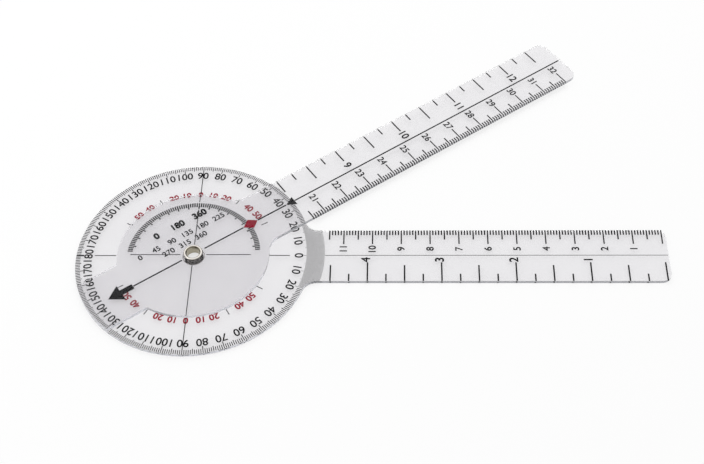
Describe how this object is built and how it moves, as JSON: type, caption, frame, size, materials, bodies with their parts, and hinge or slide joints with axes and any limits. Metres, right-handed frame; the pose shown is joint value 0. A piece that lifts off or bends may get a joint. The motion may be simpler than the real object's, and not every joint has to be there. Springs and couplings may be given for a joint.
{
  "type": "full-circle angle finder with two arms",
  "caption": "Clear full-circle angle finder: a round degree head with a ruled arm, and a second ruled arm that turns over it on a hollow eyelet.",
  "frame": {"origin": "on the pivot axis, at the underside of the fixed arm", "axes": "+X along the fixed arm, away from the pivot; +Z along the pivot axis, up through the moving arm; the moving arm is drawn 35.5 degrees from +X towards +Y"},
  "size_m": [0.2045, 0.1435, 0.0035],
  "materials": {
    "clear_plastic": "clear, flexible sheet with a smooth gloss",
    "eyelet_metal": "nickel plated, bright rim, dull bore",
    "black_ink": "screen-printed black",
    "red_ink": "screen-printed red"
  },
  "bodies": {
    "fixed_body": {"fixed_arm": "clear_plastic", "eyelet": "eyelet_metal", "degree_ring": "black_ink", "half_circle_mark": "black_ink", "stroke_band": "black_ink", "head_cross_lines": "black_ink", "tilt_marks": "black_ink", "fixed_arm_centre_line": "black_ink", "fixed_arm_centimetres": "black_ink", "fixed_arm_inches": "black_ink"},
    "moving_body": {"moving_arm": "clear_plastic", "reading_line": "black_ink", "moving_arm_centimetres": "black_ink", "moving_arm_inches": "black_ink", "tail_arrow": "black_ink", "rim_pointer": "black_ink", "tilt_pointer": "red_ink"}
  },
  "joints": [
    {"name": "arm_swing", "type": "hinge", "parent": "fixed_body", "child": "moving_body", "pos_m": [0, 0, 0.002], "axis": [0, 0, 1], "continuous": true}
  ]
}
